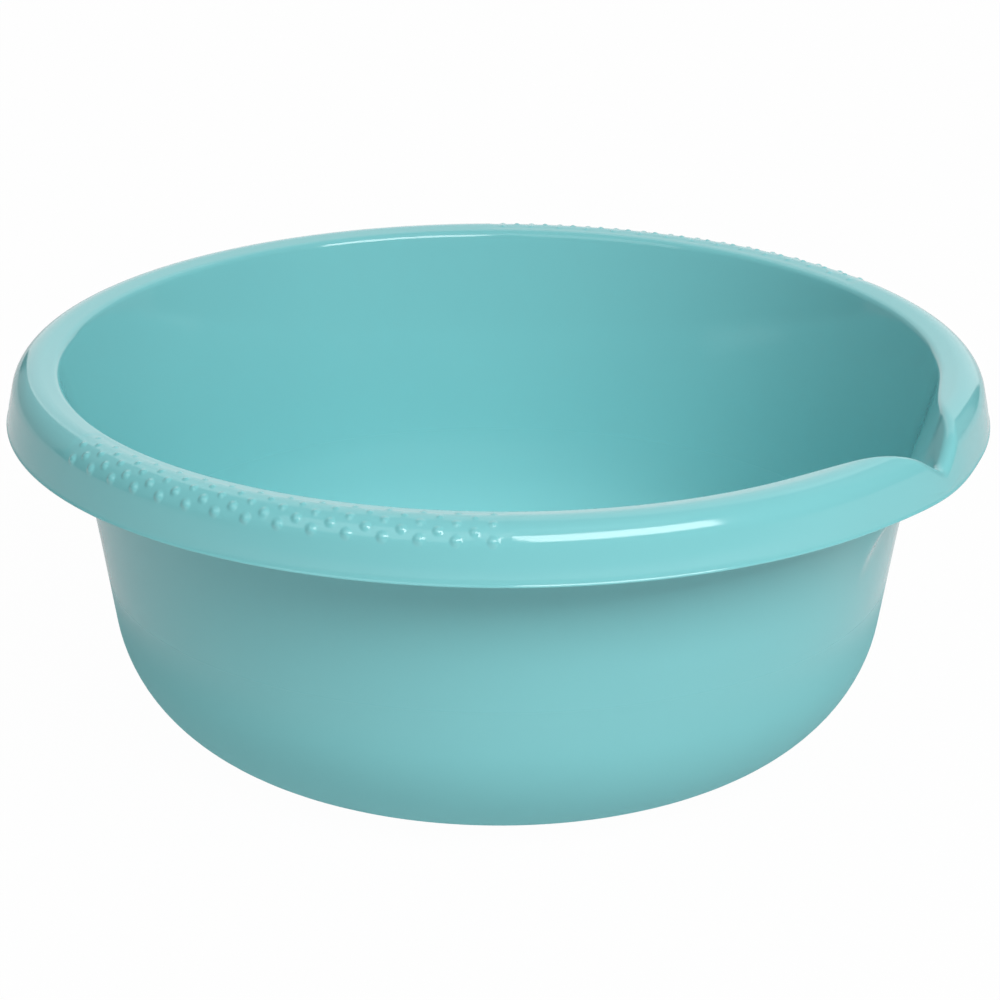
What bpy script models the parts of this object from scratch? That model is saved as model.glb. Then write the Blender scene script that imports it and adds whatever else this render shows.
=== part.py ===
"""Round washing-up basin with a pouring spout and two dotted hand grips.

The real one is a single injection moulding in polypropylene: an even wall runs from the
middle of the base up the leaning side, over the rim and down the rim's hanging skirt. So
the model is one sheet, lofted through the section at each angle, and thickened to the wall.
Frame: +Z up, metres, the origin under the middle of the base, the spout towards +X and
the grips at +Y and -Y.
"""
import math

import bmesh
import bpy
from mathutils import Matrix, Vector

# Bowl
RIM_RADIUS = 0.180         # outside of the skirt, at its lower edge
HEIGHT = 0.1436            # from the table to the crest of the rim
WALL = 0.0019              # the moulding's even thickness
DRAFT = math.radians(9.05)  # lean of the side, from upright
FLARE = 0.0050             # how far the side bends outwards at the rim, beyond its straight line
FLARE_DEPTH = 0.064        # from the crest down to where the side starts to bend
BASE_CORNER = 0.0542       # inner radius between the floor and the side

# Rim
RIM_WIDTH = 0.0190         # from the skirt's lower edge in to the line of the side
SKIRT_DEPTH = 0.0205       # from the crest down to the skirt's lower edge
SKIRT_DRAFT = math.radians(11.3)  # lean of the skirt, from upright
SHOULDER = 0.0100          # outer radius between the rim's top and its skirt
EDGE = 0.0033              # radius between the rim and the inside of the bowl or spout
TOP_SLOPE = math.radians(8.5)  # the top falls this much towards the bowl

# Base panel, pushed up so that the basin stands on a ring
FOOT_WIDTH = 0.0110        # flat ring that touches the table
PANEL_RISE = 0.0008
PANEL_STEP = 0.0020        # width of the slope between ring and panel

# Spout: a trough, V-shaped in cross-section, that cuts through the side and the rim
SPOUT_MOUTH = 0.0811       # width of the trough at the line of the side
LIP_DROP = 0.0071          # from the crest down to the unrounded lip at the trough's middle
CHANNEL_DEPTH = 0.0440     # from the crest down to where the trough leaves the side
VALLEY_WIDTH = 0.0030      # half width of the rounded bottom of the trough, at the lip
BLEND = 0.0090             # width of the soft corner between the side and the trough
BEAK = 0.0015              # how far the skirt stands out below the lip

# Grips
GRIP_TURN = math.radians(3.1)  # the grips' line stands this far off square to the spout
DOT_PITCH = 0.01231        # along a row, measured at the skirt's lower edge
DOTS_IN_LONG_ROW = 15
DOT_ROWS = 5
ROW_PITCH = 0.0032         # between rows, over the shoulder
MIDDLE_ROW = math.radians(62.3)  # lean of the middle row's dots, up from level
OUTER_DOT = 0.0038         # diameter in the outermost row
INNER_DOT = 0.00195        # diameter in the innermost row
DOT_HEIGHT_SHARE = 0.23    # height, as a share of the diameter
DOT_TOP_SHARE = 0.45       # flat top, as a share of the diameter
DOT_SIDES = 6
DOT_SUNK_SHARE = 0.45      # how deep a dot is rooted, as a share of the wall

# Facets
PLAIN_STATIONS = 44        # sections round the plain part of the rim
SPOUT_STATIONS = 40        # sections across the spout
SPOUT_REACH = math.radians(26)  # angle, from the spout's middle, beyond which the rim is plain
BASE_STEPS = 4
SIDE_STEPS = 8
EDGE_STEPS = 4
RIM_SHARES = (0.89, 0.77, 0.65, 0.53, 0.405, 0)  # rings on the rim, from its lower edge

SIDE_RADIUS = RIM_RADIUS - RIM_WIDTH
STRAIGHT_SKIRT = (SKIRT_DEPTH - SHOULDER * (1 - math.sin(SKIRT_DRAFT))) / math.cos(SKIRT_DRAFT)
TOP_LEAN = math.pi / 2 + TOP_SLOPE


def ease(start, end, place):
    """Smooth step from 0 at start to 1 at end."""
    share = min(max((place - start) / (end - start), 0), 1)
    return share * share * (3 - 2 * share)


def mix(low, high, share):
    """Value at a share of the way from low to high."""
    return low + (high - low) * share


def polar(length, lean):
    """Vector of a length in a section, at a lean up from straight outwards."""
    return Vector((length * math.cos(lean), length * math.sin(lean)))


def side_at(height):
    """Radius of the bowl's leaning side at a height, and its growth per height."""
    depth = HEIGHT - height
    bend = max(1 - depth / FLARE_DEPTH, 0)
    radius = SIDE_RADIUS - FLARE * (1 - bend**2) - depth * math.tan(DRAFT)
    return radius, math.tan(DRAFT) + 2 * bend * FLARE / FLARE_DEPTH


def trough_apex():
    """Height on the basin's axis where the lines of the trough meet, and the lowest steepness."""
    foot = Vector((side_at(HEIGHT - CHANNEL_DEPTH)[0], HEIGHT - CHANNEL_DEPTH))
    lip_x = RIM_RADIUS + BEAK - (SKIRT_DEPTH - LIP_DROP) * math.tan(SKIRT_DRAFT)
    middle = (CHANNEL_DEPTH - LIP_DROP) / (lip_x - foot.x)
    return foot.y - middle * foot.x, middle


def trough_steepness(angle):
    """Rise per length outwards of the trough's line at an angle from the spout."""
    apex, middle = trough_apex()
    mouth = SPOUT_MOUTH / 2 / SIDE_RADIUS
    at_mouth = (HEIGHT - apex) / SIDE_RADIUS
    soft = VALLEY_WIDTH / RIM_RADIUS
    across = (at_mouth - middle * math.cos(mouth)) / (
        math.hypot(math.sin(mouth), soft) - soft * math.cos(mouth)
    )
    outwards = middle - across * soft
    aside = min(abs(angle), SPOUT_REACH)
    return outwards * math.cos(aside) + across * math.hypot(math.sin(aside), soft)


def inside(angle, height):
    """Radius of the inside of bowl and spout at an angle and height, and its growth per height."""
    side, growth = side_at(height)
    steepness = trough_steepness(angle)
    trough = (height - trough_apex()[0]) / steepness
    share = min(max(0.5 + (trough - side) / (2 * BLEND), 0), 1)
    radius = mix(side, trough, share) + BLEND * share * (1 - share)
    return radius, mix(growth, 1 / steepness, share)


def blend_start(angle):
    """Height at which the trough's soft corner leaves the side."""
    steepness = trough_steepness(angle)
    low = 0
    high = HEIGHT
    for _ in range(40):
        height = (low + high) / 2
        if (height - trough_apex()[0]) / steepness < side_at(height)[0] - BLEND:
            low = height
        else:
            high = height
    return high


def rim_point(angle, length):
    """Point of the rim's outside at a length up from the skirt's edge, and its normal's lean."""
    beak = BEAK * ease(SPOUT_MOUTH / 2, 0, abs(angle) * RIM_RADIUS)
    edge = Vector((RIM_RADIUS + beak, HEIGHT - SKIRT_DEPTH))
    if length < STRAIGHT_SKIRT:
        return edge + polar(length, SKIRT_DRAFT + math.pi / 2), SKIRT_DRAFT
    centre = edge + polar(STRAIGHT_SKIRT, SKIRT_DRAFT + math.pi / 2) - polar(SHOULDER, SKIRT_DRAFT)
    lean = SKIRT_DRAFT + (length - STRAIGHT_SKIRT) / SHOULDER
    if lean < TOP_LEAN:
        return centre + polar(SHOULDER, lean), lean
    over = (lean - TOP_LEAN) * SHOULDER
    return centre + polar(SHOULDER, TOP_LEAN) + polar(over, TOP_LEAN + math.pi / 2), TOP_LEAN


def edge_round(angle):
    """Centre of the arc between inside and rim, its two leans, and its length up the rim."""
    touch = HEIGHT
    for _ in range(8):
        radius, growth = inside(angle, touch)
        inward = math.pi - math.atan(growth)
        low = 0
        high = STRAIGHT_SKIRT + SHOULDER * math.pi + RIM_WIDTH
        for _ in range(40):
            length = (low + high) / 2
            point, lean = rim_point(angle, length)
            centre = point - polar(EDGE, lean)
            if (Vector((radius, touch)) - centre).dot(polar(1, inward)) > EDGE:
                low = length
            else:
                high = length
        touch = (centre + polar(EDGE, inward)).y
    return centre, inward, lean, length


def round_corner(before, corner, after, radius, steps):
    """Points of the arc that rounds a corner of an outline."""
    back = (before - corner).normalized()
    ahead = (after - corner).normalized()
    half_turn = (math.pi - back.angle(ahead)) / 2
    reach = radius * math.tan(half_turn)
    centre = corner + (back + ahead).normalized() * radius / math.cos(half_turn)
    first = corner + back * reach - centre
    last = corner + ahead * reach - centre
    turn = last.angle_signed(first)
    return [
        centre + Matrix.Rotation(turn * step / steps, 2) @ first for step in range(steps + 1)
    ]


def section(angle):
    """Points of the sheet at an angle from the spout, from the middle of the floor."""
    centre, inward, lean, length = edge_round(angle)
    floor = Vector((side_at(WALL)[0], WALL))
    bend_start = HEIGHT - FLARE_DEPTH
    upper = Vector((side_at(bend_start)[0], bend_start))
    middle = Vector((0, WALL + PANEL_RISE))
    base = round_corner(Vector((0, WALL)), floor, upper, BASE_CORNER, BASE_STEPS)
    foot = Vector((base[0].x - FOOT_WIDTH, WALL))
    panel = Vector((foot.x - PANEL_STEP, middle.y))

    low = min(blend_start(angle), bend_start)
    high = (centre + polar(EDGE, inward)).y
    heights = [mix(low, high, step / SIDE_STEPS) for step in range(SIDE_STEPS)]
    side = [Vector((inside(angle, height)[0], height)) for height in heights]
    edge = [
        centre + polar(EDGE, mix(inward, lean, step / EDGE_STEPS))
        for step in range(EDGE_STEPS + 1)
    ]
    rim = [rim_point(angle, length * share)[0] for share in RIM_SHARES]
    return [middle, panel, foot] + base + side + edge + rim


def stations():
    """Angles of the sections: closest together at the spout's middle, widest on the plain rim."""
    spout = []
    for step in range(SPOUT_STATIONS):
        share = 2 * step / SPOUT_STATIONS - 1
        spout.append(SPOUT_REACH * share * abs(share) ** 0.4)
    plain = [
        mix(SPOUT_REACH, 2 * math.pi - SPOUT_REACH, step / PLAIN_STATIONS)
        for step in range(PLAIN_STATIONS)
    ]
    return spout + plain


def loft_round(name, angles):
    """Open sheet through the sections at the angles, joined all the way round."""
    mesh = bmesh.new()
    middle = None
    rings = []
    for angle in angles:
        points = section(angle)
        if middle is None:
            middle = mesh.verts.new((0, 0, points[0].y))
        rings.append([
            mesh.verts.new((p.x * math.cos(angle), p.x * math.sin(angle), p.y))
            for p in points[1:]
        ])
    for ring, following in zip(rings, rings[1:] + rings[:1]):
        mesh.faces.new((middle, ring[0], following[0]))
        for step in range(len(ring) - 1):
            mesh.faces.new((ring[step], ring[step + 1], following[step + 1], following[step]))
    data = bpy.data.meshes.new(name)
    mesh.to_mesh(data)
    mesh.free()
    return bpy.data.objects.new(name, data)


def dot_matrix(angle, lean, depth):
    """Place on the shoulder: local +Z points straight out of the rim's surface."""
    point, _ = rim_point(math.pi, STRAIGHT_SKIRT + (lean - SKIRT_DRAFT) * SHOULDER)
    place = point - polar(depth, lean)
    tilt = Matrix.Rotation(math.pi / 2 - lean, 4, "Y")
    spot = Matrix.Translation((place.x, 0, place.y))
    return Matrix.Rotation(angle, 4, "Z") @ spot @ tilt


def grip_dots(name):
    """All the dots of both grips: five staggered rows on each, smaller towards the bowl."""
    mesh = bmesh.new()
    sunk = WALL * DOT_SUNK_SHARE
    for side in (1, -1):
        for row in range(DOT_ROWS):
            lean = MIDDLE_ROW + (row - (DOT_ROWS - 1) / 2) * ROW_PITCH / SHOULDER
            diameter = mix(OUTER_DOT, INNER_DOT, row / (DOT_ROWS - 1))
            height = diameter * DOT_HEIGHT_SHARE
            count = DOTS_IN_LONG_ROW - row % 2
            for dot in range(count):
                turn = (dot - (count - 1) / 2) * DOT_PITCH / RIM_RADIUS
                angle = side * math.pi / 2 + GRIP_TURN + turn
                bmesh.ops.create_cone(
                    mesh,
                    cap_ends=True,
                    segments=DOT_SIDES,
                    radius1=diameter / 2,
                    radius2=diameter * DOT_TOP_SHARE / 2,
                    depth=height + sunk,
                    matrix=dot_matrix(angle, lean, (sunk - height) / 2),
                )
    data = bpy.data.meshes.new(name)
    mesh.to_mesh(data)
    mesh.free()
    return bpy.data.objects.new(name, data)


def turquoise_polypropylene():
    """Glossy moulded polypropylene, coloured right through."""
    material = bpy.data.materials.new("turquoise_polypropylene")
    material.use_nodes = True
    shader = material.node_tree.nodes["Principled BSDF"]
    shader.inputs["Base Color"].default_value = (0.16, 0.52, 0.55, 1)
    shader.inputs["Roughness"].default_value = 0.22
    shader.inputs["Metallic"].default_value = 0
    return material


def collection(name):
    """New collection, linked to the scene."""
    group = bpy.data.collections.new(name)
    bpy.context.scene.collection.children.link(group)
    return group


def build():
    """Makes the basin."""
    for old in list(bpy.data.objects):
        bpy.data.objects.remove(old, do_unlink=True)
    parts = collection("washing_up_basin")
    helpers = collection("helpers")

    dots = grip_dots("grip_dots")
    dots.hide_render = True
    dots.display_type = "WIRE"
    helpers.objects.link(dots)

    basin = loft_round("basin", stations())
    parts.objects.link(basin)
    basin.data.materials.append(turquoise_polypropylene())
    basin.data.shade_smooth()

    wall = basin.modifiers.new("wall", "SOLIDIFY")
    wall.thickness = WALL
    wall.offset = -1
    wall.use_even_offset = True
    wall.use_quality_normals = True

    grips = basin.modifiers.new("grips", "BOOLEAN")
    grips.operation = "UNION"
    grips.solver = "EXACT"
    grips.object = dots


build()
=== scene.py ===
"""Studio scene of a moulded washing-up basin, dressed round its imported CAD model.

The basin is one injection moulding in polypropylene: floor, leaning side, rolled rim with a
hanging skirt, a V-shaped pouring spout, and two fields of grip dots on the rim. All of it is one
piece here too, a closed shell with an even wall, built finely enough to carry sharp reflections.
Lengths are in metres unless a name says otherwise, and the spout points along +X.
"""
import logging
import math
from collections.abc import Callable
from dataclasses import dataclass, field
from functools import cached_property

import bpy
import numpy as np
from mathutils import Matrix, Vector


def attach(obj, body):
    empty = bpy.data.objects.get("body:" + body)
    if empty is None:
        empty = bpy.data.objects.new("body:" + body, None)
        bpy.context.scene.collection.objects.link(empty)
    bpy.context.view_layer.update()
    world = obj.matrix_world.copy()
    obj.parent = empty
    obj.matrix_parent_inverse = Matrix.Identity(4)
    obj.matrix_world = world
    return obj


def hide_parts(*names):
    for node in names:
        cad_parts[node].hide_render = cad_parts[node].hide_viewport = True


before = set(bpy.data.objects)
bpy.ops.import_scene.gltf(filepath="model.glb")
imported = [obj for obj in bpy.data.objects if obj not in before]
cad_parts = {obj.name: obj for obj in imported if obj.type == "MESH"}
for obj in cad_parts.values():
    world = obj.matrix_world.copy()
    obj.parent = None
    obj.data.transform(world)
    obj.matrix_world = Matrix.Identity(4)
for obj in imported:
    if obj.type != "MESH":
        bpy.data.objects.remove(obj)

log = logging.getLogger("basin")

# Halvings that bring a search over the rim or the side well below a micrometre.
HALVINGS = 34


def smooth(share: float | np.ndarray) -> float | np.ndarray:
    """Share from 0 to 1 with soft ends, of a number or of each number in an array."""
    return share * share * (3 - 2 * share)


def fading(inwards: np.ndarray, fade: float) -> np.ndarray:
    """Share that rises softly from 0 at an edge to 1 at a distance of fade inside it."""
    return smooth(np.clip(inwards / fade, 0, 1))


def ease(start: float, end: float, place: float) -> float:
    """Smooth step from 0 at start to 1 at end.

    Args:
        start: Place where the step begins.
        end: Place where the step ends, on either side of start.
        place: Place to read.

    Returns:
        A share from 0 to 1.
    """
    return smooth(min(max((place - start) / (end - start), 0), 1))


def mix(low: float, high: float, share: float) -> float:
    """Value at a share of the way from low to high."""
    return low + (high - low) * share


def polar(length: float, lean: float) -> np.ndarray:
    """Vector of a length in a section, at a lean up from straight outwards."""
    return np.array((length * math.cos(lean), length * math.sin(lean)))


def search(low: float, high: float, short: Callable[[float], bool]) -> float:
    """Place between two others where a test stops being true, found by halving.

    Args:
        low: Place where the test is true.
        high: Place where it isn't.
        short: The test, which takes a place.

    Returns:
        The place.
    """
    for _ in range(HALVINGS):
        middle = (low + high) / 2
        if short(middle):
            low = middle
        else:
            high = middle
    return high


def linear(colour: str) -> tuple[float, float, float, float]:
    """Linear colour of an sRGB hex value such as "#40e0d0"."""
    values = [int(colour[place : place + 2], 16) / 255 for place in (1, 3, 5)]
    return (*[v / 12.92 if v <= 0.04045 else ((v + 0.055) / 1.055) ** 2.4 for v in values], 1)


def add_node(
    tree: bpy.types.NodeTree,
    kind: str,
    settings: dict[str, object] | None = None,
    inputs: dict[str | int, object] | None = None,
) -> bpy.types.Node:
    """Adds a node.

    Args:
        tree: Node tree that gets it.
        kind: Type of node.
        settings: Its properties.
        inputs: Values of its sockets, or the sockets of other nodes that feed them.

    Returns:
        The node.
    """
    node = tree.nodes.new(kind)
    for name, value in (settings or {}).items():
        setattr(node, name, value)
    for name, value in (inputs or {}).items():
        if isinstance(value, bpy.types.NodeSocket):
            tree.links.new(value, node.inputs[name])
        else:
            node.inputs[name].default_value = value
    return node


@dataclass(frozen=True)
class MouldedPolypropylene:
    """Glossy injection-moulded polypropylene, pigmented right through.

    The polished tool gives sharp reflections with a very faint ripple, and the pigment drifts a
    little where the melt has flowed. Towards the base the tool is left satin, which spreads
    the lamps' reflections there into a soft glow. Scales are in millimetres, and the satin's
    limits are heights above the table in metres.
    """

    # A milky turquoise, and the slightly deeper one where the pigment gathers.
    colour: str = "#7fc8cb"
    drift_colour: str = "#7cc4c8"
    # Polypropylene off a polished tool: lamps show as clear shapes with a soft edge.
    roughness: float = 0.10
    roughness_drift: float = 0.03
    # Off a blasted tool: lamps spread out into a glow with no shape.
    satin_roughness: float = 0.75
    satin_below: float = 0.040
    polished_above: float = 0.080
    ior: float = 1.49
    flow_mm: float = 70.0
    flow_detail: float = 3.0
    flow_softness: float = 0.45
    flow_low: float = 0.3
    flow_high: float = 0.7
    ripple_mm: float = 2.2
    ripple_detail: float = 1.0
    ripple_softness: float = 0.4
    ripple_depth_mm: float = 0.0016

    def material(self, name: str) -> bpy.types.Material:
        """Makes the material.

        Args:
            name: Name of the material.

        Returns:
            The material, with its colour, gloss and ripple from nodes.
        """
        made = bpy.data.materials.new(name)
        made.use_nodes = True
        tree = made.node_tree
        shader = tree.nodes["Principled BSDF"]
        place = add_node(tree, "ShaderNodeTexCoord").outputs["Object"]
        colour, gloss = self.flow_marks(tree, place)
        shader.inputs["IOR"].default_value = self.ior
        tree.links.new(colour, shader.inputs["Base Color"])
        tree.links.new(self.satin_base(tree, place, gloss), shader.inputs["Roughness"])
        tree.links.new(self.ripple(tree, place), shader.inputs["Normal"])
        return made

    def flow_marks(
        self, tree: bpy.types.NodeTree, place: bpy.types.NodeSocket
    ) -> tuple[bpy.types.NodeSocket, bpy.types.NodeSocket]:
        """Drift of pigment and gloss, which keeps the large plain wall from looking painted.

        Args:
            tree: The material's node tree.
            place: Place on the basin.

        Returns:
            The colour, and the roughness of the polished surface.
        """
        flow = add_node(
            tree,
            "ShaderNodeTexNoise",
            {},
            {
                "Vector": place,
                "Scale": 1000 / self.flow_mm,
                "Detail": self.flow_detail,
                "Roughness": self.flow_softness,
            },
        ).outputs["Fac"]
        # Sockets 0, 6 and 7 are the factor and the two colours, and output 2 is the colour.
        colour = add_node(
            tree,
            "ShaderNodeMix",
            {"data_type": "RGBA"},
            {0: flow, 6: linear(self.colour), 7: linear(self.drift_colour)},
        )
        gloss = add_node(
            tree,
            "ShaderNodeMapRange",
            {},
            {
                "Value": flow,
                "From Min": self.flow_low,
                "From Max": self.flow_high,
                "To Min": self.roughness - self.roughness_drift / 2,
                "To Max": self.roughness + self.roughness_drift / 2,
            },
        )
        return colour.outputs[2], gloss.outputs["Result"]

    def satin_base(
        self, tree: bpy.types.NodeTree, place: bpy.types.NodeSocket, gloss: bpy.types.NodeSocket
    ) -> bpy.types.NodeSocket:
        """Satin base: no sharp lamp shows low in the bowl, and the rim keeps its hard shine.

        Args:
            tree: The material's node tree.
            place: Place on the basin.
            gloss: Roughness of the polished surface.

        Returns:
            The roughness, the higher of the two finishes.
        """
        height = add_node(tree, "ShaderNodeSeparateXYZ", {}, {"Vector": place})
        satin = add_node(
            tree,
            "ShaderNodeMapRange",
            {"interpolation_type": "SMOOTHSTEP"},
            {
                "Value": height.outputs["Z"],
                "From Min": self.satin_below,
                "From Max": self.polished_above,
                "To Min": self.satin_roughness,
                "To Max": 0.0,
            },
        )
        higher = add_node(
            tree,
            "ShaderNodeMath",
            {"operation": "MAXIMUM"},
            {0: gloss, 1: satin.outputs["Result"]},
        )
        return higher.outputs[0]

    def ripple(
        self, tree: bpy.types.NodeTree, place: bpy.types.NodeSocket
    ) -> bpy.types.NodeSocket:
        """Shrinkage ripple, which takes the razor edge off the mirrored lamps.

        Args:
            tree: The material's node tree.
            place: Place on the basin.

        Returns:
            The normal.
        """
        waves = add_node(
            tree,
            "ShaderNodeTexNoise",
            {},
            {
                "Vector": place,
                "Scale": 1000 / self.ripple_mm,
                "Detail": self.ripple_detail,
                "Roughness": self.ripple_softness,
            },
        )
        bump = add_node(
            tree,
            "ShaderNodeBump",
            {},
            {
                "Strength": 1.0,
                "Distance": self.ripple_depth_mm / 1000,
                "Height": waves.outputs["Fac"],
            },
        )
        return bump.outputs["Normal"]


@dataclass(frozen=True)
class LitOpalAcrylic:
    """Opal acrylic table top, lit from below: matt and pale, and white but for the shadow.

    The camera sees mostly plain white, with a small share of the real surface, which carries
    the basin's soft shadow. All else sees the grey surface and its glow, so that the table
    lights the basin from below no more than the photograph shows.
    """

    colour: str = "#b2b2b2"
    roughness: float = 0.9
    glow: float = 0.34
    white_share: float = 0.97

    def material(self, name: str) -> bpy.types.Material:
        """Makes the material.

        Args:
            name: Name of the material.

        Returns:
            The material.
        """
        made = bpy.data.materials.new(name)
        made.use_nodes = True
        tree = made.node_tree
        shader = tree.nodes["Principled BSDF"]
        shader.inputs["Base Color"].default_value = linear(self.colour)
        shader.inputs["Roughness"].default_value = self.roughness
        shader.inputs["Emission Color"].default_value = (1, 1, 1, 1)
        shader.inputs["Emission Strength"].default_value = self.glow
        white = add_node(tree, "ShaderNodeEmission", {}, {"Strength": 1.0})
        path = add_node(tree, "ShaderNodeLightPath")
        share = add_node(
            tree,
            "ShaderNodeMath",
            {"operation": "MULTIPLY"},
            {0: path.outputs["Is Camera Ray"], 1: self.white_share},
        )
        both = add_node(
            tree,
            "ShaderNodeMixShader",
            {},
            {0: share.outputs[0], 1: shader.outputs[0], 2: white.outputs[0]},
        )
        tree.links.new(both.outputs[0], tree.nodes["Material Output"].inputs["Surface"])
        return made


@dataclass(frozen=True)
class EdgeArc:
    """Arc that rounds the edge between the inside and the rim, in one section.

    It runs from the lean called inward to the one called outward, and ends at a length up along
    the rim from the skirt's lower edge.
    """

    centre: np.ndarray
    inward: float
    outward: float
    rim_length: float


@dataclass(frozen=True)
class BasinSection:
    """Sizes of the basin's section, and the outline that they give at each angle.

    Angles run round the basin from the middle of the spout. Points are (radius, height).
    """

    rim_radius: float = 0.180
    height: float = 0.1436
    wall: float = 0.0019
    draft: float = math.radians(9.05)
    flare: float = 0.0050
    flare_depth: float = 0.064
    base_corner: float = 0.0542
    rim_width: float = 0.0190
    skirt_depth: float = 0.0205
    skirt_draft: float = math.radians(11.3)
    shoulder: float = 0.0100
    edge: float = 0.0033
    top_slope: float = math.radians(8.5)
    foot_width: float = 0.0110
    panel_rise: float = 0.0008
    panel_step: float = 0.0020
    spout_mouth: float = 0.0811
    lip_drop: float = 0.0071
    channel_depth: float = 0.0440
    valley_width: float = 0.0030
    blend: float = 0.0090
    beak: float = 0.0015
    spout_reach: float = math.radians(26)
    edge_seatings: int = 8

    @property
    def side_at_crest(self) -> float:
        """Radius of the line of the leaning side at the height of the rim's crest."""
        return self.rim_radius - self.rim_width

    @property
    def straight_skirt(self) -> float:
        """Length of the skirt's straight part, up to the shoulder's arc."""
        rise = self.skirt_depth - self.shoulder * (1 - math.sin(self.skirt_draft))
        return rise / math.cos(self.skirt_draft)

    @property
    def top_lean(self) -> float:
        """Lean of the normal of the rim's top."""
        return math.pi / 2 + self.top_slope

    @cached_property
    def plain_edge(self) -> EdgeArc:
        """Arc of the edge away from the spout."""
        return self.edge_round(math.pi)

    def side_at(self, height: float) -> tuple[float, float]:
        """Bowl's leaning side, with its soft flare towards the rim.

        Args:
            height: Height above the table.

        Returns:
            Its radius, and the radius's growth per height.
        """
        depth = self.height - height
        bend = max(1 - depth / self.flare_depth, 0)
        radius = self.side_at_crest - self.flare * (1 - bend**2) - depth * math.tan(self.draft)
        return radius, math.tan(self.draft) + 2 * bend * self.flare / self.flare_depth

    def trough_apex(self) -> tuple[float, float]:
        """Place where the lines of the spout's trough meet.

        Returns:
            Its height on the axis, and the steepness of the trough's lowest line.
        """
        foot_z = self.height - self.channel_depth
        foot_x = self.side_at(foot_z)[0]
        lip_x = self.rim_radius + self.beak
        lip_x -= (self.skirt_depth - self.lip_drop) * math.tan(self.skirt_draft)
        middle = (self.channel_depth - self.lip_drop) / (lip_x - foot_x)
        return foot_z - middle * foot_x, middle

    def trough_steepness(self, angle: float) -> float:
        """Steepness of the trough's line, which is least in the middle of the spout.

        Args:
            angle: Angle from the spout.

        Returns:
            Rise per length outwards.
        """
        apex, middle = self.trough_apex()
        mouth = self.spout_mouth / 2 / self.side_at_crest
        at_mouth = (self.height - apex) / self.side_at_crest
        soft = self.valley_width / self.rim_radius
        across = (at_mouth - middle * math.cos(mouth)) / (
            math.hypot(math.sin(mouth), soft) - soft * math.cos(mouth)
        )
        outwards = middle - across * soft
        aside = min(abs(angle), self.spout_reach)
        return outwards * math.cos(aside) + across * math.hypot(math.sin(aside), soft)

    def inside(self, angle: float, height: float) -> tuple[float, float]:
        """Inside of the bowl and of the spout, with the soft corner between them.

        Args:
            angle: Angle from the spout.
            height: Height above the table.

        Returns:
            Its radius, and the radius's growth per height.
        """
        side, growth = self.side_at(height)
        steepness = self.trough_steepness(angle)
        trough = (height - self.trough_apex()[0]) / steepness
        share = min(max(0.5 + (trough - side) / (2 * self.blend), 0), 1)
        radius = mix(side, trough, share) + self.blend * share * (1 - share)
        return radius, mix(growth, 1 / steepness, share)

    def blend_start(self, angle: float) -> float:
        """Height at which the trough's soft corner leaves the side.

        Args:
            angle: Angle from the spout.

        Returns:
            The height, which is that of the rim's crest away from the spout.
        """
        steepness, apex = self.trough_steepness(angle), self.trough_apex()[0]
        return search(
            0, self.height, lambda z: (z - apex) / steepness < self.side_at(z)[0] - self.blend
        )

    def rim_point(self, angle: float, length: float) -> tuple[np.ndarray, float]:
        """Point of the rim's outside: the straight skirt, the shoulder's arc or the top.

        Args:
            angle: Angle from the spout.
            length: Length up along the rim from the skirt's lower edge.

        Returns:
            The point, and the lean of the surface's normal there.
        """
        beak = self.beak * ease(self.spout_mouth / 2, 0, abs(angle) * self.rim_radius)
        up = self.skirt_draft + math.pi / 2
        edge = np.array((self.rim_radius + beak, self.height - self.skirt_depth))
        if length < self.straight_skirt:
            return edge + polar(length, up), self.skirt_draft
        centre = edge + polar(self.straight_skirt, up) - polar(self.shoulder, self.skirt_draft)
        lean = self.skirt_draft + (length - self.straight_skirt) / self.shoulder
        if lean < self.top_lean:
            return centre + polar(self.shoulder, lean), lean
        over = (lean - self.top_lean) * self.shoulder
        flat = polar(over, self.top_lean + math.pi / 2)
        return centre + polar(self.shoulder, self.top_lean) + flat, self.top_lean

    def edge_centre(self, angle: float, length: float) -> np.ndarray:
        """Centre of the edge's arc if it left the rim at this length and angle."""
        point, lean = self.rim_point(angle, length)
        return point - polar(self.edge, lean)

    def edge_round(self, angle: float) -> EdgeArc:
        """Arc of the edge, which touches both the rim and the inside.

        Args:
            angle: Angle from the spout.

        Returns:
            The arc. It is seated a few times over, since the inside curves.
        """
        longest = self.straight_skirt + self.shoulder * math.pi + self.rim_width
        touch = self.height
        for _ in range(self.edge_seatings):
            radius, growth = self.inside(angle, touch)
            inward = math.pi - math.atan(growth)
            facing = polar(1, inward)
            seat = np.array((radius, touch)) @ facing - self.edge
            length = search(0, longest, lambda at: self.edge_centre(angle, at) @ facing < seat)
            centre = self.edge_centre(angle, length)
            touch = (centre + polar(self.edge, inward))[1]
        return EdgeArc(centre, inward, self.rim_point(angle, length)[1], length)

    def base_points(self, steps: int) -> list[np.ndarray]:
        """Round corner between the floor and the side.

        Args:
            steps: Number of its steps.

        Returns:
            Its points, from the floor up.
        """
        half_turn = (math.pi / 2 - self.draft) / 2
        reach = self.base_corner * math.tan(half_turn)
        centre = np.array((self.side_at(self.wall)[0] - reach, self.wall + self.base_corner))
        start, end = -math.pi / 2, -self.draft
        return [
            centre + polar(self.base_corner, mix(start, end, step / steps))
            for step in range(steps + 1)
        ]


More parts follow.
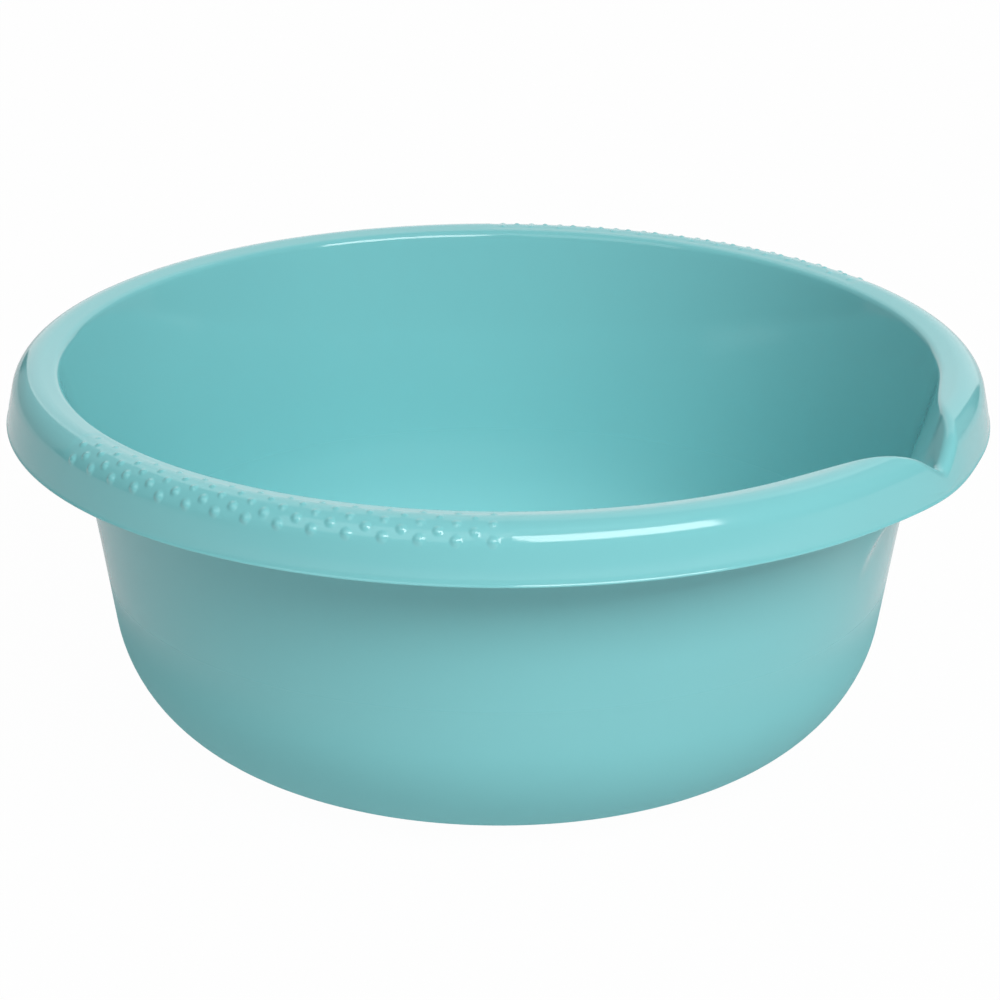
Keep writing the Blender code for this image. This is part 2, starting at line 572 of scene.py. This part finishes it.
@dataclass(frozen=True)
class GripDots:
    """The two fields of small domes, moulded into the rim, that keep wet hands from slipping.

    Each field has five rows, which shrink towards the inside of the rim. It lies in a shallow
    pad, and the long highlight on the rim stops at the pad's end. Row leans are in degrees.
    """

    turn: float = math.radians(3.1)
    pitch: float = math.radians(3.918)
    long_row: int = 15
    row_leans: tuple[float, ...] = (25.6, 44.0, 62.3, 80.7, 98.6)
    diameters: tuple[float, ...] = (0.0038, 0.0035, 0.0029, 0.0024, 0.0021)
    height_share: float = 0.20
    foot_share: float = 1.1
    roundness: float = 1.2
    recess: float = 0.00015
    recess_reach: float = math.radians(29.5)
    recess_fade: float = math.radians(1.0)
    recess_low_fade: float = 0.0080
    recess_high_fade: float = 0.0022

    def field_angles(self) -> tuple[float, float]:
        """Angles from the spout of the middles of the two fields."""
        return math.pi / 2 + self.turn, 3 * math.pi / 2 + self.turn

    def sunk(self, angles: np.ndarray) -> np.ndarray:
        """Shallow pads that carry the dots.

        Args:
            angles: Angles from the spout.

        Returns:
            Depth of the pads at each angle.
        """
        depth = np.zeros_like(angles)
        for middle in self.field_angles():
            aside = np.abs(angles - middle)
            depth += self.recess * fading(self.recess_reach - aside, self.recess_fade)
        return depth

    def domes(self, section: BasinSection) -> list[tuple[float, float, float]]:
        """Every dome of both fields, each second row set half a pitch aside.

        Args:
            section: Section of the rim that carries them.

        Returns:
            Each dome's angle from the spout, length up the rim, and diameter.
        """
        found = []
        for middle in self.field_angles():
            for row, (lean, diameter) in enumerate(zip(self.row_leans, self.diameters)):
                count = self.long_row - row % 2
                turned = math.radians(lean) - section.skirt_draft
                length = section.straight_skirt + turned * section.shoulder
                for dot in range(count):
                    angle = middle + (dot - (count - 1) / 2) * self.pitch
                    found.append((angle, length, diameter))
        return found


@dataclass
class Basin:
    """The moulding: one closed shell, its sizes and how finely it is meshed.

    The upper side of the sheet runs from the middle of the floor, up the side and over the edge
    to the band of the rim that carries the dots, and down the skirt to the lip. Sections stand
    closer in the spout, and within the band also over the grips, where the domes need them.
    """

    section: BasinSection = field(default_factory=BasinSection)
    dots: GripDots = field(default_factory=GripDots)
    plastic: MouldedPolypropylene = field(default_factory=MouldedPolypropylene)
    coarse_per_pitch: int = 2
    fine_per_coarse: int = 14
    spout_steps: int = 120
    spout_crowding: float = 1.25
    plain_step: float = math.radians(1.5)
    floor_shares: tuple[float, ...] = (0.12, 0.3, 0.5, 0.7, 0.9, 0.98)
    panel_step_shares: tuple[float, ...] = (0, 0.25, 0.5, 0.75, 1)
    foot_shares: tuple[float, ...] = (0.1, 0.5)
    base_steps: int = 24
    low_side_steps: int = 4
    side_steps: int = 20
    edge_steps: int = 7
    band_steps: int = 40
    band_below: float = 0.0018
    skirt_steps: int = 5
    lip_round: float = 0.0004
    lip_steps: int = 8
    lip_squareness: float = 0.6
    bead_height: float = 0.0011
    bead_depth: float = 0.0002
    bead_fade: float = 0.0060
    bead_steps: int = 5
    under_side_stride: int = 2
    under_band_stride: int = 5

    def stations(self) -> tuple[np.ndarray, np.ndarray]:
        """Angles of the sections.

        Returns:
            All the angles, fine over the grips, and the places among them of the coarse ones.
        """
        reach = self.section.spout_reach
        steps = np.linspace(-1, 1, self.spout_steps + 1)
        spout = reach * np.sign(steps) * np.abs(steps) ** self.spout_crowding
        fine, coarse = spout[:-1].tolist(), list(range(self.spout_steps))
        for start, end, count, each in self.stretches():
            coarse += [len(fine) + step * each for step in range(count)]
            fine += np.linspace(start, end, count * each, endpoint=False).tolist()
        return np.array(fine), np.array(coarse)

    def stretches(self) -> list[tuple[float, float, int, int]]:
        """Stretches of the rim from one side of the spout round to the other.

        Returns:
            For each, the angles of its ends, its coarse steps, and the fine steps in each.
        """
        half = self.dots.pitch * (self.dots.long_row / 2 + 1)
        grip_steps = (self.dots.long_row + 2) * self.coarse_per_pitch
        at, end = self.section.spout_reach, 2 * math.pi - self.section.spout_reach
        found = []
        for middle in self.dots.field_angles():
            start = middle - half
            found.append((at, start, round((start - at) / self.plain_step), 1))
            found.append((start, middle + half, grip_steps, self.fine_per_coarse))
            at = middle + half
        found.append((at, end, round((end - at) / self.plain_step), 1))
        return found

    def floor_points(self) -> list[np.ndarray]:
        """Outline of the floor: the raised panel, its soft step and the foot ring.

        Returns:
            The points, from near the middle of the floor outwards.
        """
        s = self.section
        corner = s.base_points(self.base_steps)[0]
        foot = corner[0] - s.foot_width
        panel = foot - s.panel_step
        raised = s.wall + s.panel_rise
        floor = [(panel * share, raised) for share in self.floor_shares]
        step = [
            (mix(panel, foot, share), mix(raised, s.wall, smooth(share)))
            for share in self.panel_step_shares
        ]
        ring = [(mix(foot, corner[0], share), s.wall) for share in self.foot_shares]
        return [np.array(point) for point in floor + step + ring]

    def side_points(self, angle: float, start: float, end: float) -> list[np.ndarray]:
        """Outline of the side, in a few long steps and then in short ones up to the edge.

        Args:
            angle: Angle from the spout.
            start: Height of the round corner's end.
            end: Height of the edge's start.

        Returns:
            The points between them.
        """
        s = self.section
        bend = min(s.blend_start(angle), s.height - s.flare_depth)
        heights = [
            mix(start, bend, step / self.low_side_steps) for step in range(1, self.low_side_steps)
        ]
        heights += [mix(bend, end, step / self.side_steps) for step in range(self.side_steps)]
        return [np.array((s.inside(angle, height)[0], height)) for height in heights]

    def outline(self, angle: float) -> tuple[np.ndarray, np.ndarray, np.ndarray]:
        """Outline of the sheet's upper side in the section at an angle.

        Args:
            angle: Angle from the spout.

        Returns:
            The points inside the band that carries the dots, those of the band, and those of
            the skirt below it.
        """
        s = self.section
        arc = s.edge_round(angle)
        corner = s.base_points(self.base_steps)
        edge = [
            arc.centre + polar(s.edge, mix(arc.inward, arc.outward, step / self.edge_steps))
            for step in range(self.edge_steps)
        ]
        side = self.side_points(angle, corner[-1][1], edge[0][1])
        lengths = self.band_lengths(arc.rim_length)
        band = [s.rim_point(angle, length)[0] for length in lengths]
        skirt = [
            s.rim_point(angle, length)[0] - polar(self.hollow(length), s.skirt_draft)
            for length in self.skirt_lengths(lengths[-1])
        ]
        inner = self.floor_points() + corner + side + edge
        return np.array(inner), np.array(band), np.array(skirt)

    def band_lengths(self, top: float) -> np.ndarray:
        """Rings of the band, which keeps its share of the rim in the spout, where that is less.

        Args:
            top: Length up the rim to the end of the edge's arc.

        Returns:
            The rings' lengths up the rim, from the top down.
        """
        plain_end = self.section.straight_skirt - self.band_below
        share = plain_end / self.section.plain_edge.rim_length
        return top * np.linspace(1, share, self.band_steps + 1)

    def skirt_lengths(self, top: float) -> np.ndarray:
        """Rings between the band and the lip.

        Args:
            top: Length up the rim to the band's last ring.

        Returns:
            The rings' lengths up the rim, from the top down, close together over the bead.
        """
        above = np.linspace(top, self.bead_height, self.skirt_steps + 1)[1:-1]
        bead = np.linspace(self.bead_height, self.lip_round, self.bead_steps + 1)
        return np.concatenate([above, bead])

    def hollow(self, length: float) -> float:
        """Depth of the hollow above the bead on the skirt's lower edge."""
        rise = ease(self.lip_round, self.bead_height, length)
        return self.bead_depth * rise * (1 - ease(0, self.bead_fade, length))

    def relief(self, angles: np.ndarray) -> np.ndarray:
        """Height of the domes and depth of their pads over the band.

        Args:
            angles: Angles of the band's sections from the spout.

        Returns:
            Heights above the plain surface, one row for each angle.
        """
        dots, rim = self.dots, self.section
        lengths = self.band_lengths(rim.plain_edge.rim_length)
        radii = np.array([rim.rim_point(math.pi, length)[0][0] for length in lengths])
        pad = fading(lengths - lengths[-1], dots.recess_low_fade)
        pad = pad * fading(lengths[0] - lengths, dots.recess_high_fade)
        rise = -np.outer(dots.sunk(angles), pad)
        for angle, length, diameter in dots.domes(rim):
            reach = diameter / 2 * dots.foot_share
            near = np.flatnonzero(np.abs(angles - angle) * radii.min() < reach)
            rings = np.flatnonzero(np.abs(lengths - length) < reach)
            across = np.outer(angles[near] - angle, radii[rings])
            away = np.hypot(across, lengths[rings] - length) / reach
            dome = np.clip(1 - away**2, 0, None) ** dots.roundness
            rise[np.ix_(near, rings)] += diameter * dots.height_share * dome
        return rise

    def band_normals(self, angles: np.ndarray) -> np.ndarray:
        """Normals of the plain band, along which the domes rise.

        Args:
            angles: Angles of the band's sections from the spout.

        Returns:
            A normal for each section and ring.
        """
        lengths = self.band_lengths(self.section.plain_edge.rim_length)
        one = np.array([
            polar(1, self.section.rim_point(math.pi, length)[1]) for length in lengths
        ])
        return around(np.broadcast_to(one, (len(angles), *one.shape)), angles)

    def lip(self, sheet: np.ndarray, normals: np.ndarray) -> np.ndarray:
        """Square round of the skirt's lower edge, from the sheet's upper side to its underside.

        Args:
            sheet: Points of the upper side, one row for each section.
            normals: Their normals.

        Returns:
            The points of the lip, one row for each section.
        """
        end = sheet[:, -1]
        middle = end - normals[:, -1] * self.section.wall / 2
        down = end - sheet[:, -2]
        down /= np.linalg.norm(down, axis=1, keepdims=True)
        turns = [math.pi * step / self.lip_steps for step in range(1, self.lip_steps)]
        rings = [
            middle
            + (end - middle) * self.squared(math.cos(turn))
            + down * self.lip_round * self.squared(math.sin(turn))
            for turn in turns
        ]
        return np.stack(rings, axis=1)

    def squared(self, value: float) -> float:
        """Coordinate on the lip's round, pushed out towards the corners of a square."""
        return math.copysign(abs(value) ** self.lip_squareness, value)

    def under_rings(self, inner_count: int, total: int) -> list[int]:
        """Rings of the upper sheet that the underside repeats.

        Args:
            inner_count: Number of rings inside the band.
            total: Number of rings of the whole sheet.

        Returns:
            Their places, all of them at the round base corner and fewer under the rim.
        """
        side = inner_count - self.edge_steps - self.side_steps
        band = inner_count + self.band_steps
        return [
            *range(side),
            *range(side, inner_count, self.under_side_stride),
            *range(inner_count, band, self.under_band_stride),
            *range(band, total),
        ]

    def build(self) -> bpy.types.Object:
        """Meshes the shell: the upper side with its domes, the lip and the underside.

        Returns:
            The basin, linked to the scene.
        """
        fine, coarse = self.stations()
        plain = self.outline(math.pi)
        reach = self.section.spout_reach
        rows = [self.outline(angle) if angle < reach else plain for angle in fine[coarse]]
        inner = around(np.array([row[0] for row in rows]), fine[coarse])
        skirt = around(np.array([row[2] for row in rows]), fine[coarse])
        holder = np.searchsorted(coarse, np.arange(len(fine)), side="right") - 1
        band = around(np.array([rows[place][1] for place in holder]), fine)

        sheet = np.concatenate([inner, band[coarse], skirt], axis=1)
        normals = grid_normals(sheet)
        rings = self.under_rings(inner.shape[1], sheet.shape[1])
        under = (sheet - normals * self.section.wall)[:, rings[::-1]]
        lower = np.concatenate([skirt, self.lip(sheet, normals), under], axis=1)
        band = band + self.band_normals(fine) * self.relief(fine)[:, :, None]
        return self.stitch(inner, band, lower, coarse)

    def stitch(
        self, inner: np.ndarray, band: np.ndarray, lower: np.ndarray, coarse: np.ndarray
    ) -> bpy.types.Object:
        """Joins the three grids of points, and closes them at the middle of the floor.

        Args:
            inner: Points of the upper side inside the band, one row for each coarse section.
            band: Points of the band, one row for each section.
            lower: Points from the band down round the lip and back along the underside.
            coarse: Places of the coarse sections among all of them.

        Returns:
            The shell.
        """
        top = inner[0, 0, 2]
        mesh = ShellMesh()
        top_middle = mesh.add_points(np.array([[0, 0, top]]))[0]
        inner_ids, band_ids, lower_ids = [mesh.add_grid(grid) for grid in (inner, band, lower)]
        bottom_middle = mesh.add_points(np.array([[0, 0, top - self.section.wall]]))[0]
        mesh.fan(top_middle, inner_ids[:, 0])
        mesh.quads(inner_ids)
        mesh.join(inner_ids[:, -1], band_ids[:, 0], coarse, fine_below=True)
        mesh.quads(band_ids)
        mesh.join(lower_ids[:, 0], band_ids[:, -1], coarse, fine_below=False)
        mesh.quads(lower_ids)
        mesh.fan(bottom_middle, lower_ids[::-1, -1])
        return mesh.finish("basin_shell")

    def dress(self, shell: bpy.types.Object) -> None:
        """Gives the shell its plastic."""
        shell.data.materials.append(self.plastic.material("turquoise_polypropylene"))


def around(points: np.ndarray, angles: np.ndarray) -> np.ndarray:
    """Turns the points of each section to its angle.

    Args:
        points: Points as (radius, height), one row for each section.
        angles: The sections' angles from the spout.

    Returns:
        The points as (x, y, z).
    """
    radius, height = points[..., 0], points[..., 1]
    turn = angles[:, None]
    return np.stack([radius * np.cos(turn), radius * np.sin(turn), height], axis=-1)


def grid_normals(grid: np.ndarray) -> np.ndarray:
    """Normals of a closed ring of sections.

    Args:
        grid: Points as (x, y, z), one row for each section.

    Returns:
        A unit normal for each point, out of the upper side.
    """
    round_the_rim = np.roll(grid, -1, axis=0) - np.roll(grid, 1, axis=0)
    along = np.gradient(grid, axis=1)
    normals = np.cross(along, round_the_rim)
    return normals / np.linalg.norm(normals, axis=2, keepdims=True)


@dataclass
class ShellMesh:
    """Gathers points and faces, and makes one mesh of them."""

    points: list[np.ndarray] = field(default_factory=list)
    count: int = 0
    faces: list[tuple[int, ...]] = field(default_factory=list)

    def add_points(self, points: np.ndarray) -> np.ndarray:
        """Adds points.

        Args:
            points: Points as (x, y, z).

        Returns:
            Their numbers.
        """
        self.points.append(points)
        self.count += len(points)
        return np.arange(self.count - len(points), self.count)

    def add_grid(self, grid: np.ndarray) -> np.ndarray:
        """Adds a grid of points, and returns their numbers in the same layout."""
        return self.add_points(grid.reshape(-1, 3)).reshape(grid.shape[:2])

    def quads(self, ids: np.ndarray) -> None:
        """Adds faces over a grid that closes on itself round the basin.

        Args:
            ids: Numbers of the grid's points.
        """
        after = np.roll(ids, -1, axis=0)
        faces = np.stack([ids[:, :-1], ids[:, 1:], after[:, 1:], after[:, :-1]], axis=-1)
        self.faces += [tuple(face) for face in faces.reshape(-1, 4).tolist()]

    def fan(self, middle: int, ring: np.ndarray) -> None:
        """Adds triangles from a middle point to a ring."""
        for first, second in zip(ring.tolist(), np.roll(ring, -1).tolist()):
            self.faces.append((int(middle), first, second))

    def join(
        self, coarse_row: np.ndarray, fine_row: np.ndarray, places: np.ndarray, fine_below: bool
    ) -> None:
        """Adds faces between a coarse row of points and the fine row beside it.

        Args:
            coarse_row: Numbers of the coarse row's points.
            fine_row: Numbers of the fine row's points.
            places: For each coarse point, the place of the fine one at its angle.
            fine_below: Whether the fine row comes after the coarse one down the outline.
        """
        total = len(fine_row)
        for count, start in enumerate(places):
            following = (count + 1) % len(places)
            stop = places[following] if following else total
            run = [int(fine_row[place % total]) for place in range(start, stop + 1)]
            face = [int(coarse_row[count]), *run, int(coarse_row[following])]
            self.faces.append(tuple(face if fine_below else face[::-1]))

    def finish(self, name: str) -> bpy.types.Object:
        """Makes the object.

        Args:
            name: Name of the object and its mesh.

        Returns:
            The object, with smooth faces, linked to the scene.
        """
        data = bpy.data.meshes.new(name)
        data.from_pydata(np.concatenate(self.points).tolist(), [], self.faces)
        data.validate()
        data.shade_smooth()
        piece = bpy.data.objects.new(name, data)
        bpy.context.scene.collection.objects.link(piece)
        return piece


@dataclass(frozen=True)
class Softbox:
    """A rectangular studio lamp or lit card that points at the basin.

    Its azimuth and elevation are in degrees, as seen from the basin. Brightness 1 is white.
    """

    name: str
    azimuth: float
    elevation: float
    distance: float
    width: float
    height: float
    brightness: float

    def build(self, target: Vector) -> bpy.types.Object:
        """Hangs the lamp.

        Args:
            target: Point that it faces.

        Returns:
            The lamp, out of the camera's sight.
        """
        data = bpy.data.lights.new(self.name, "AREA")
        data.shape = "RECTANGLE"
        data.size, data.size_y = self.width, self.height
        data.energy = math.pi * self.width * self.height * self.brightness
        lamp = bpy.data.objects.new(self.name, data)
        bpy.context.scene.collection.objects.link(lamp)
        turn, rise = math.radians(self.azimuth), math.radians(self.elevation)
        way = Vector((
            math.cos(rise) * math.cos(turn), math.cos(rise) * math.sin(turn), math.sin(rise)
        ))
        lamp.location = target + way * self.distance
        lamp.rotation_euler = (-way).to_track_quat("-Z", "Y").to_euler()
        lamp.visible_camera = False
        return lamp


@dataclass(frozen=True)
class Studio:
    """A lit opal table, dim surroundings, the softbox in front and the white cards round it.

    The front softbox makes the long highlight on the rim. The backdrop and its wings make the
    pale strips on the far rim and the shoulder. The camera alone sees the surroundings as
    white: the plastic mirrors the lamps and cards instead, which leaves its colour deep.
    """

    surroundings: float = 0.04
    table_top: LitOpalAcrylic = field(default_factory=LitOpalAcrylic)
    table_size: float = 8.0
    target: tuple[float, float, float] = (0, 0, 0.09)
    # Each has its name, azimuth, elevation, distance, width, height and brightness.
    lamps: tuple[Softbox, ...] = (
        Softbox("front_softbox", -29, 40, 3.0, 2.20, 1.22, 9.0),
        Softbox("high_card", -29, 66, 3.0, 1.9, 1.0, 0.4),
        Softbox("left_softbox", -91, 46, 3.0, 2.2, 2.0, 1.35),
        Softbox("overhead_card", 121, 88, 2.3, 2.2, 2.2, 0.2),
        Softbox("backdrop", 117, 31, 2.8, 3.1, 3.6, 1.05),
        Softbox("backdrop_left", 166, 26, 2.8, 2.0, 2.9, 0.35),
        Softbox("backdrop_right", 66, 26, 2.8, 1.7, 2.9, 0.25),
    )

    def build(self) -> None:
        """Makes the surroundings, the table and the lamps."""
        self.build_surroundings()
        self.build_table()
        for lamp in self.lamps:
            lamp.build(Vector(self.target))

    def build_surroundings(self) -> bpy.types.World:
        """Makes the world: white to the camera, and a dim grey that fills the shadows.

        Returns:
            The world, set as the scene's.
        """
        world = bpy.data.worlds.new("dim_surroundings")
        bpy.context.scene.world = world
        world.use_nodes = True
        tree = world.node_tree
        dim = tree.nodes["Background"]
        dim.inputs["Color"].default_value = (1, 1, 1, 1)
        dim.inputs["Strength"].default_value = self.surroundings
        seen = add_node(tree, "ShaderNodeBackground", {}, {"Color": (1, 1, 1, 1)})
        path = add_node(tree, "ShaderNodeLightPath")
        both = add_node(
            tree,
            "ShaderNodeMixShader",
            {},
            {0: path.outputs["Is Camera Ray"], 1: dim.outputs[0], 2: seen.outputs[0]},
        )
        tree.links.new(both.outputs[0], tree.nodes["World Output"].inputs["Surface"])
        return world

    def build_table(self) -> bpy.types.Object:
        """Makes the table, a square sheet at the height of the basin's foot.

        Returns:
            The table, which is part of the stage.
        """
        data = bpy.data.meshes.new("table")
        half = self.table_size / 2
        corners = [(-half, -half, 0), (half, -half, 0), (half, half, 0), (-half, half, 0)]
        data.from_pydata(corners, [], [(0, 1, 2, 3)])
        table = bpy.data.objects.new("table", data)
        bpy.context.scene.collection.objects.link(table)
        data.materials.append(self.table_top.material("lit_opal_acrylic"))
        return table


@dataclass(frozen=True)
class PhotoCamera:
    """Camera at the photograph's viewing angle, as fitted to the rim's two ellipses.

    It stands back from the basin's axis and up from the table, at an azimuth from -Y towards
    +X, and looks down by its elevation. Lens and sensor are in millimetres.
    """

    azimuth: float = math.radians(31.0)
    elevation: float = math.radians(20.603)
    roll: float = math.radians(0.263)
    across: float = 0.00072
    back: float = 1.257498
    height: float = 0.558602
    lens: float = 129.86
    sensor: float = 36.0
    nearest: float = 0.05
    farthest: float = 50.0

    def build(self) -> bpy.types.Object:
        """Sets the camera up.

        Returns:
            The camera, set as the scene's.
        """
        data = bpy.data.cameras.new("photo_camera")
        data.lens, data.sensor_width = self.lens, self.sensor
        data.clip_start, data.clip_end = self.nearest, self.farthest
        camera = bpy.data.objects.new("photo_camera", data)
        bpy.context.scene.collection.objects.link(camera)
        tilt = Matrix.Rotation(math.pi / 2 - self.elevation, 4, "X")
        place = Matrix.Translation((self.across, -self.back, self.height))
        turn = Matrix.Rotation(self.azimuth, 4, "Z")
        camera.matrix_world = turn @ place @ tilt @ Matrix.Rotation(self.roll, 4, "Z")
        bpy.context.scene.camera = camera
        return camera


def main() -> None:
    """Builds the scene, piece by piece."""
    logging.basicConfig(level=logging.INFO, format="%(message)s")
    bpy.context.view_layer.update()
    bpy.context.scene.view_settings.view_transform = "Standard"
    PhotoCamera().build()
    log.info("camera placed")
    Studio().build()
    log.info("studio lit")
    moulding = Basin()
    basin = moulding.build()
    moulding.dress(basin)
    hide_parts("basin")
    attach(basin, "root")
    log.info("basin moulded: %d faces", len(basin.data.polygons))


if __name__ == "__main__":
    main()
